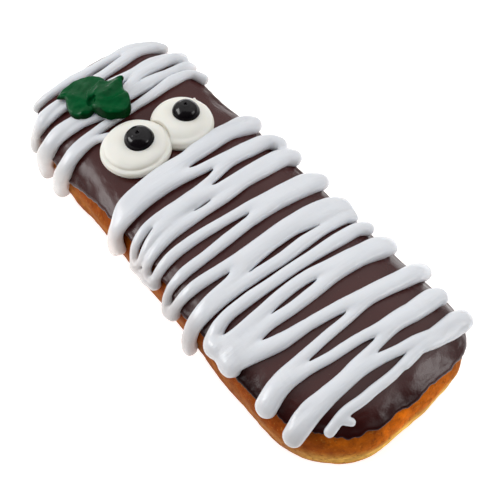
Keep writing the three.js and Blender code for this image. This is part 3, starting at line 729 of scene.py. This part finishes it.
def outline_distance(x, y, outline):
    """Distance inside a closed outline (negative outside), in the plan."""
    pts, _ = curve_through(list(outline) + [outline[0]], 0.5)
    a, b = pts[:-1], pts[1:]
    d = b - a
    best = np.full(x.shape, 1e9)
    wind = np.zeros(x.shape)
    for (ax, ay), (dx, dy) in zip(a, d):
        t = np.clip(((x - ax) * dx + (y - ay) * dy) / max(dx * dx + dy * dy, 1e-9), 0, 1)
        best = np.minimum(best, np.hypot(x - ax - t * dx, y - ay - t * dy))
        up = (ay <= y) & (ay + dy > y)
        down = (ay > y) & (ay + dy <= y)
        cross = dx * (y - ay) - dy * (x - ax)
        wind += np.where(up & (cross > 0), 1, 0) - np.where(down & (cross < 0), 1, 0)
    return np.where(wind != 0, best, -best)


def leaf_mesh():
    pitch = 0.3
    field = Field((-20.5, 41.5, 27.5), (5.0, 69.5, 41.5), pitch)
    ax = [field.low[i] + pitch * np.arange(field.shape[i]) for i in range(3)]
    x, y = np.meshgrid(ax[0], ax[1], indexing="ij")
    ground = height_at(x, y, COAT)
    fold, pit = FOLD, PIT
    for outline, lift, thick, seed in ((LOBE_LEFT, 0.0, 2.3, 61), (LOBE_RIGHT, 0.9, 2.7, 62)):
        d = outline_distance(x, y, outline)
        near = np.clip((58 - y) / 12, 0, 1)
        # the edge towards the eyes falls away below a crease
        dx, dy = np.gradient(d, pitch)
        front = np.clip(1.6 * (0.628 * dx + 0.778 * dy), 0, 1)
        plan = np.stack([x, y], -1)
        edge = np.clip(1 - d / (2.3 * (1 + 0.22 * waves(plan, 5, seed + 7))), 0, 1)
        fall = 3.2 * front * (1 - np.sqrt(1 - edge * edge))
        angle = np.arctan2(y - fold[1], x - fold[0])
        dist = np.hypot(x - fold[0], y - fold[1])
        crease = 1 - 1.6 * np.abs(np.sin(angle * 4.5 + 0.6 * np.sin(dist / 3)))
        ridges = (0.52 if lift else 0.30) * crease * np.clip((dist - 1.5) / 4, 0, 1)
        top = ground + 3.3 + lift + thick * (0.55 + 0.45 * near) + ridges \
            + 0.25 * waves(plan, 8, seed) + 0.10 * waves(plan, 2.6, seed + 3)
        top = top - 1.8 * np.exp(-(dist / 1.35) ** 4)
        top = top - 0.9 * np.exp(-(np.hypot(x - pit[0], y - pit[1]) / 0.5) ** 4)
        under = top - (1.7 + 2.8 * near)
        top = top - fall
        z = ax[2][None, None, :]
        mid, half = ((top + under) / 2)[..., None], ((top - under) / 2)[..., None]
        e = 1.0
        qz = np.abs(z - mid) - half + e
        qd = -d[..., None] + e + 0 * z
        dist3 = (np.minimum(np.maximum(qz, qd), 0)
                 + np.sqrt(np.maximum(qz, 0) ** 2 + np.maximum(qd, 0) ** 2) - e)
        field.blend(tuple(slice(0, n) for n in field.shape), dist3.astype(np.float32), 0.35)
    field.value[0], field.value[-1] = 3, 3
    field.value[:, 0], field.value[:, -1] = 3, 3
    field.value[:, :, 0], field.value[:, :, -1] = 3, 3
    p, quads = field.surface()
    return settle(p), quads


# ---- materials -----------------------------------------------------------------------------------
class Nodes:
    """A small helper to build a node material."""

    def __init__(self, name):
        self.material = bpy.data.materials.new(name)
        self.material.use_nodes = True
        self.tree = self.material.node_tree
        self.bsdf = self.tree.nodes["Principled BSDF"]
        spot = self.add("ShaderNodeTexCoord")
        self.where, self.facing = spot.outputs["Object"], spot.outputs["Normal"]

    def add(self, kind, **props):
        node = self.tree.nodes.new(kind)
        for key, value in props.items():
            setattr(node, key, value)
        return node

    def link(self, a, b):
        self.tree.links.new(a, b)

    def stretch(self, scale, turn=(0, 0, 0)):
        m = self.add("ShaderNodeMapping")
        m.inputs["Scale"].default_value = scale
        m.inputs["Rotation"].default_value = turn
        self.link(self.where, m.inputs["Vector"])
        return m.outputs["Vector"]

    def noise(self, vector, scale, detail=3.0, rough=0.5, kind="FBM"):
        n = self.add("ShaderNodeTexNoise")
        n.inputs["Scale"].default_value = scale
        n.inputs["Detail"].default_value = detail
        n.inputs["Roughness"].default_value = rough
        self.link(vector, n.inputs["Vector"])
        return n.outputs["Fac"]

    def ramp(self, value, stops, smooth=False):
        r = self.add("ShaderNodeValToRGB")
        if smooth:
            r.color_ramp.interpolation = "EASE"
        e = r.color_ramp.elements
        while len(e) < len(stops):
            e.new(0.5)
        for item, (at, colour) in zip(e, stops):
            item.position = at
            item.color = (*colour, 1) if len(colour) == 3 else colour
        self.link(value, r.inputs["Fac"])
        return r.outputs["Color"]

    def mix(self, a, b, fac, kind="MIX"):
        m = self.add("ShaderNodeMix", data_type="RGBA", blend_type=kind)
        for socket, value in ((m.inputs[6], a), (m.inputs[7], b)):
            if isinstance(value, tuple):
                socket.default_value = (*value, 1)
            else:
                self.link(value, socket)
        if isinstance(fac, (int, float)):
            m.inputs[0].default_value = fac
        else:
            self.link(fac, m.inputs[0])
        return m.outputs[2]

    def math(self, kind, a, b=None, c=None):
        m = self.add("ShaderNodeMath", operation=kind)
        for i, value in enumerate((a, b, c)):
            if value is None:
                continue
            if isinstance(value, (int, float)):
                m.inputs[i].default_value = value
            else:
                self.link(value, m.inputs[i])
        return m.outputs[0]

    def bump(self, height, strength, distance, normal=None):
        b = self.add("ShaderNodeBump")
        b.inputs["Strength"].default_value = strength
        b.inputs["Distance"].default_value = distance
        self.link(height, b.inputs["Height"])
        if normal is not None:
            self.link(normal, b.inputs["Normal"])
        return b.outputs["Normal"]

    def height(self):
        s = self.add("ShaderNodeSeparateXYZ")
        self.link(self.where, s.inputs[0])
        return s.outputs["Z"]

    def set(self, **values):
        for key, value in values.items():
            socket = self.bsdf.inputs[key.replace("_", " ")]
            if isinstance(value, (int, float, tuple)):
                socket.default_value = value if not isinstance(value, tuple) or len(value) != 3 \
                    or len(socket.default_value) == 3 else (*value, 1)
            else:
                self.link(value, socket)
        return self


def dough_material():
    m = Nodes("fried_dough")
    z = m.height()
    wander = m.noise(m.where, 60, 2)
    z = m.math("ADD", z, m.math("MULTIPLY", m.math("SUBTRACT", wander, 0.5), 0.004))
    level = m.math("DIVIDE", z, 0.030)
    crust = m.ramp(level, [(0.0, (0.30, 0.072, 0.004)), (0.35, (0.37, 0.090, 0.005)),
                           (0.60, (0.42, 0.108, 0.006)), (1.0, (0.38, 0.090, 0.005))])
    belt = m.ramp(level, [(0.30, (0, 0, 0)), (0.42, (1, 1, 1)), (0.50, (0.9, 0.9, 0.9)), (0.62, (0, 0, 0))])
    # the pale belt shows mostly at the foot; painted light and shade: the crust and belt tone changes across the bar
    # to follow the light falling on it, darkest along the near side
    split = m.add("ShaderNodeSeparateXYZ")
    m.link(m.where, split.inputs[0])
    foot = m.ramp(m.math("MULTIPLY", split.outputs["Y"], -10.0), [(0.45, (0.3, 0.3, 0.3)), (0.72, (1, 1, 1))])
    width = m.math("MULTIPLY_ADD", split.outputs["X"], 12.0, 0.5)
    # painted light and shade: tone factors for the crust and belt across the bar
    across = m.ramp(width, [(0.12, (0.61, 0.44, 0.50)), (0.28, (1.26, 1.18, 0.66)), (0.44, (1.90, 1.64, 0.44)),
                            (0.56, (1.84, 1.66, 0.60)), (0.78, (1.22, 1.22, 0.90)), (0.88, (0.98, 1.06, 2.4))])
    pale = m.ramp(width, [(0.12, (0.43, 0.19, 0.042)), (0.28, (0.86, 0.50, 0.080)), (0.44, (0.98, 0.64, 0.110)),
                          (0.78, (0.84, 0.53, 0.115)), (0.88, (0.66, 0.38, 0.110))])
    # the crust is a little duller round the head
    round_head = m.ramp(m.math("MULTIPLY", split.outputs["Y"], 10.0), [(0.62, (1, 1, 1)), (0.80, (0.68, 0.78, 2.2))])
    base = m.mix(m.mix(crust, across, 1.0, "MULTIPLY"), round_head, 1.0, "MULTIPLY")
    base = m.mix(base, pale, m.mix(belt, foot, 1.0, "MULTIPLY"))
    blotch = m.noise(m.where, 110, 4, 0.6)
    mottled = m.mix(base, (0.22, 0.048, 0.004), m.math("MULTIPLY", m.ramp(blotch, [(0.42, (0, 0, 0)), (0.70, (1, 1, 1))]), 0.55))
    dapple = m.ramp(m.noise(m.where, 380, 3, 0.6), [(0.36, (0.80, 0.76, 0.72)), (0.64, (1.16, 1.18, 1.22))])
    mottled = m.mix(mottled, dapple, 1.0, "MULTIPLY")
    grain = m.noise(m.where, 750, 4, 0.65)
    speck = m.ramp(grain, [(0.55, (0, 0, 0)), (0.66, (1, 1, 1))])
    colour = m.mix(mottled, (0.20, 0.046, 0.005), m.math("MULTIPLY", speck, 0.65))
    light = m.ramp(m.noise(m.where, 1300, 3, 0.6), [(0.60, (0, 0, 0)), (0.72, (1, 1, 1))])
    colour = m.mix(colour, (0.62, 0.30, 0.06), m.math("MULTIPLY", light, 0.35))
    m.set(Base_Color=colour, Subsurface_Weight=0.06, Subsurface_Radius=(1.0, 0.35, 0.1),
          Subsurface_Scale=0.002, Specular_IOR_Level=0.05)
    m.set(Roughness=m.math("ADD", m.math("MULTIPLY", grain, 0.25), 0.55))
    fine = m.bump(grain, 0.5, 0.0004)
    m.set(Normal=m.bump(m.noise(m.where, 260, 3), 0.5, 0.0007, fine))
    return m.material


def chocolate_material():
    m = Nodes("chocolate_icing")
    cloud = m.noise(m.where, 45, 3)
    colour = m.mix((0.050, 0.0066, 0.0052), (0.064, 0.0110, 0.0092), cloud)
    pores = m.ramp(m.noise(m.where, 1500, 3, 0.6), [(0.66, (0, 0, 0)), (0.76, (1, 1, 1))])
    colour = m.mix(colour, (0.16, 0.085, 0.055), m.math("MULTIPLY", pores, 0.35))
    # painted shade: the coat is darker and a little less glossy down the sides than on the flat
    painted_side_shade = m.ramp(m.height(), [(0.0235, (0.62, 0.40, 0.36)), (0.0292, (1, 1, 1))], smooth=True)
    split = m.add("ShaderNodeSeparateXYZ")
    m.link(m.where, split.inputs[0])
    # duller towards the head; painted shade, darkest along the near low edge of the foot
    ends = m.ramp(m.math("MULTIPLY_ADD", split.outputs["Y"], 6.0, 0.5),
                  [(0.12, (0.52, 0.52, 0.52)), (0.50, (0.43, 0.43, 0.43)), (0.86, (0.27, 0.27, 0.27))])
    near = m.math("MULTIPLY_ADD", split.outputs["X"], -8.0, m.math("MULTIPLY", split.outputs["Y"], -5.0))
    # painted shade along the low edge near the foot
    edge = m.mix(m.ramp(m.height(), [(0.0240, (0.30, 0.17, 0.17)), (0.0280, (1, 1, 1))], smooth=True),
                 (1, 1, 1), m.ramp(near, [(0.28, (1, 1, 1)), (0.42, (0, 0, 0))], smooth=True))
    colour = m.mix(colour, edge, 1.0, "MULTIPLY")
    m.set(Base_Color=m.mix(colour, painted_side_shade, 1.0, "MULTIPLY"), IOR=1.45,
          Specular_IOR_Level=m.mix(m.mix(ends, edge, 1.0, "MULTIPLY"),
                                   m.math("MULTIPLY_ADD", painted_side_shade, 0.27, 0.73), 1.0, "MULTIPLY"))
    rough = m.noise(m.where, 120, 4, 0.6)
    m.set(Roughness=m.math("ADD", m.math("MULTIPLY", rough, 0.14), 0.175))
    fine = m.bump(m.noise(m.where, 1900, 3, 0.6), 0.32, 0.00012)
    m.set(Normal=m.bump(m.noise(m.where, 150, 3), 0.22, 0.0005, fine))
    return m.material


def icing_material(name, painted_hang_colours):
    m = Nodes(name)
    along = m.stretch((0.06, 1.0, 0.5), (0, 0, 0.10))
    streak = m.noise(along, 1100, 3, 0.6)
    broad = m.noise(m.stretch((0.25, 1.0, 0.7)), 260, 2)
    colour = m.mix((0.742, 0.766, 0.808), (0.80, 0.816, 0.85), broad)
    # painted light and shade where it hangs down beside the dough: warmer, standing in for light thrown back from
    # the dough, darker towards the foot, with its own tone on the lowest ends
    painted_hang_mask = m.ramp(m.height(), [(0.0205, (1, 1, 1)), (0.0292, (0, 0, 0))], smooth=True)
    tip, foot, deep = painted_hang_colours
    split = m.add("ShaderNodeSeparateXYZ")
    m.link(m.where, split.inputs[0])
    shade = m.mix(tip, foot, m.ramp(m.math("MULTIPLY_ADD", split.outputs["Y"], -10.0, 0.5),
                                    [(0.36, (0, 0, 0)), (0.54, (0.75, 0.75, 0.75)), (0.98, (1, 1, 1))]))
    shade = m.mix(shade, deep, m.ramp(m.height(), [(0.006, (1, 1, 1)), (0.014, (0, 0, 0))], smooth=True))
    colour = m.mix(colour, shade, painted_hang_mask)
    m.set(Base_Color=colour, Subsurface_Weight=0.30, Subsurface_Radius=(1.0, 0.85, 0.75),
          Subsurface_Scale=0.0022, Specular_IOR_Level=0.5)
    m.set(Roughness=m.math("ADD", m.math("MULTIPLY", streak, 0.16), 0.16))
    fine = m.bump(streak, 0.45, 0.0003)
    m.set(Normal=m.bump(broad, 0.20, 0.0006, fine))
    return m.material


def eye_material():
    m = Nodes("eye_icing")
    cloud = m.noise(m.where, 140, 3)
    colour = m.mix((0.885, 0.865, 0.79), (0.925, 0.915, 0.855), cloud)
    # painted shade: darker and warmer on the steep sides round the rim
    slope = m.add("ShaderNodeSeparateXYZ")
    m.link(m.facing, slope.inputs[0])
    rim = m.ramp(slope.outputs["Z"], [(0.25, (0.80, 0.775, 0.74)), (0.78, (1, 1, 1))], smooth=True)
    colour = m.mix(colour, rim, 1.0, "MULTIPLY")
    m.set(Base_Color=colour, Subsurface_Weight=0.25, Subsurface_Radius=(1.0, 0.8, 0.6),
          Subsurface_Scale=0.0018)
    m.set(Roughness=m.math("ADD", m.math("MULTIPLY", cloud, 0.12), 0.44))
    m.set(Normal=m.bump(m.noise(m.where, 700, 3), 0.12, 0.0002))
    return m.material


def pupil_material():
    m = Nodes("black_icing")
    cloud = m.noise(m.where, 400, 2)
    colour = m.mix((0.003, 0.0022, 0.003), (0.008, 0.006, 0.008), cloud)
    steep = m.add("ShaderNodeSeparateXYZ")
    m.link(m.facing, steep.inputs[0])
    m.set(Base_Color=colour, Specular_IOR_Level=m.ramp(
        steep.outputs["Z"], [(0.36, (0.05, 0.05, 0.05)), (0.70, (0.28, 0.28, 0.28))]))
    m.set(Roughness=m.math("ADD", m.math("MULTIPLY", cloud, 0.12), 0.08))
    m.set(Normal=m.bump(m.noise(m.where, 500, 2), 0.22, 0.0004))
    return m.material


def leaf_material():
    m = Nodes("green_icing")
    cloud = m.noise(m.where, 220, 3, 0.6)
    colour = m.mix((0.0004, 0.058, 0.012), (0.001, 0.100, 0.029), cloud)
    sheen = m.ramp(m.noise(m.where, 170, 2), [(0.40, (0.03, 0.03, 0.03)), (0.66, (0.16, 0.16, 0.16))])
    # painted shade: darker and less glossy where its edges fall away steeply
    slope = m.add("ShaderNodeSeparateXYZ")
    m.link(m.facing, slope.inputs[0])
    deep = m.ramp(slope.outputs["Z"], [(0.34, (0.25, 0.34, 0.25)), (0.66, (1, 1, 1))], smooth=True)
    m.set(Base_Color=m.mix(colour, deep, 1.0, "MULTIPLY"),
          Specular_IOR_Level=m.mix(sheen, deep, 1.0, "MULTIPLY"))
    m.set(Roughness=m.math("ADD", m.math("MULTIPLY", cloud, 0.16), 0.16))
    m.set(Normal=m.bump(m.noise(m.where, 420, 3), 0.5, 0.0008))
    return m.material


# ---- making the pieces ------------------------------------------------------------------------
make_object("fried_bar", *dough_mesh(), dough_material(), "dough", "fried_dough")
make_object("poured_coat", *coat_mesh(), chocolate_material(), "chocolate_coat", "chocolate_icing")
# the hanging colours of the icing are painted warm light from the dough and painted shade
make_object("head_bandage", *wrap_mesh(HEAD, HEAD_RUNS, 0.42, 0.32, 0.35), icing_material("white_icing_head", ((0.67, 0.645, 0.63), (0.67, 0.645, 0.63), (0.55, 0.50, 0.475))),
            "head_wrap", "white_icing")
make_object("body_bandage", *wrap_mesh(BODY, RUNS, 0.5, 0.45, 1.5), icing_material("white_icing_body", ((0.82, 0.74, 0.70), (0.52, 0.495, 0.495), (0.80, 0.72, 0.68))),
            "body_wrap", "white_icing")
eye_look, pupil_look = eye_material(), pupil_material()
for side in ("left", "right"):
    make_object(f"disc_{side}", *eye_mesh(side), eye_look, f"eye_{side}", "eye_icing")
    make_object(f"dot_{side}", *pupil_mesh(side), pupil_look, f"pupil_{side}", "black_icing")
make_object("piped_leaf", *leaf_mesh(), leaf_material(), "leaf", "green_icing")


# ---- floor and light ---------------------------------------------------------------------------
def make_floor():
    n, half = 24, 1.6
    g = np.linspace(-half, half, n + 1)
    x, y = np.meshgrid(g, g, indexing="ij")
    verts = np.stack([x, y, np.full_like(x, -0.00002)], -1).reshape(-1, 3)
    i, j = np.meshgrid(np.arange(n), np.arange(n), indexing="ij")
    a = i * (n + 1) + j
    faces = np.stack([a, a + n + 1, a + n + 2, a + 1], -1).reshape(-1, 4)
    mesh = bpy.data.meshes.new("floor")
    mesh.from_pydata(verts.tolist(), [], faces.tolist())
    floor = bpy.data.objects.new("floor", mesh)
    bpy.context.collection.objects.link(floor)
    m = Nodes("floor_card")
    # white round the bar, falling away to grey further out
    out = m.add("ShaderNodeVectorMath", operation="LENGTH")
    m.link(m.where, out.inputs[0])
    fade = m.ramp(out.outputs["Value"], [(0.24, (1, 1, 1)), (0.46, (0.25, 0.25, 0.25))])
    card = m.mix((0.93, 0.93, 0.93), (0.95, 0.95, 0.95), m.noise(m.where, 3))
    m.set(Base_Color=m.mix(card, fade, 1.0, "MULTIPLY"), Roughness=0.9, Specular_IOR_Level=0.0,
          Emission_Color=fade, Emission_Strength=0.66)
    mesh.materials.append(m.material)


def area(name, at, aim, size, power, colour=(1, 1, 1)):
    data = bpy.data.lights.new(name, "AREA")
    data.shape = "RECTANGLE"
    data.size, data.size_y = size
    data.energy = power
    data.color = colour
    light = bpy.data.objects.new(name, data)
    light.location = at
    light.rotation_euler = (Vector(aim) - Vector(at)).to_track_quat("-Z", "Y").to_euler()
    bpy.context.collection.objects.link(light)


def make_world():
    world = bpy.data.worlds.new("studio")
    bpy.context.scene.world = world
    world.use_nodes = True
    t = world.node_tree
    bg = t.nodes["Background"]
    # a bright white room behind the bar and above it, dim in front of it
    where = t.nodes.new("ShaderNodeTexCoord")
    dot = t.nodes.new("ShaderNodeVectorMath")
    dot.operation = "DOT_PRODUCT"
    dot.inputs[1].default_value = (-0.6277, -0.7785, 0.0)
    t.links.new(where.outputs["Generated"], dot.inputs[0])
    span = t.nodes.new("ShaderNodeMapRange")
    span.inputs["From Min"].default_value = -1.0
    span.inputs["From Max"].default_value = 1.0
    t.links.new(dot.outputs["Value"], span.inputs["Value"])
    ramp = t.nodes.new("ShaderNodeValToRGB")
    stops = [(0.0, 1.0), (0.30, 0.95), (0.50, 0.85), (0.58, 1.08), (0.63, 0.78), (0.69, 0.20),
             (0.76, 0.09), (1.0, 0.045)]
    e = ramp.color_ramp.elements
    while len(e) < len(stops):
        e.new(0.5)
    for item, (at, level) in zip(e, stops):
        item.position = at
        item.color = (level / 1.2, level / 1.2, level / 1.2, 1)
    t.links.new(span.outputs["Result"], ramp.inputs["Fac"])
    # dimmer near the horizon than overhead
    split = t.nodes.new("ShaderNodeSeparateXYZ")
    t.links.new(where.outputs["Generated"], split.inputs[0])
    rise = t.nodes.new("ShaderNodeValToRGB")
    for item, (at, level) in zip(rise.color_ramp.elements, ((0.05, 0.36), (0.60, 1.0))):
        item.position = at
        item.color = (level, level, level, 1)
    t.links.new(split.outputs["Z"], rise.inputs["Fac"])
    both = t.nodes.new("ShaderNodeMix")
    both.data_type, both.blend_type = "RGBA", "MULTIPLY"
    both.inputs[0].default_value = 1.0
    t.links.new(ramp.outputs["Color"], both.inputs[6])
    t.links.new(rise.outputs["Color"], both.inputs[7])
    t.links.new(both.outputs[2], bg.inputs["Color"])
    bg.inputs["Strength"].default_value = 1.40


make_floor()
make_world()
area("side_left", (-0.64, 0.52, 0.36), (0, 0, 0.02), (0.44, 0.24), 2.7)
area("side_right", (0.476, -0.655, 0.395), (0, 0, 0.02), (0.34, 0.25), 1.25)

bpy.context.scene.view_settings.view_transform = "Standard"
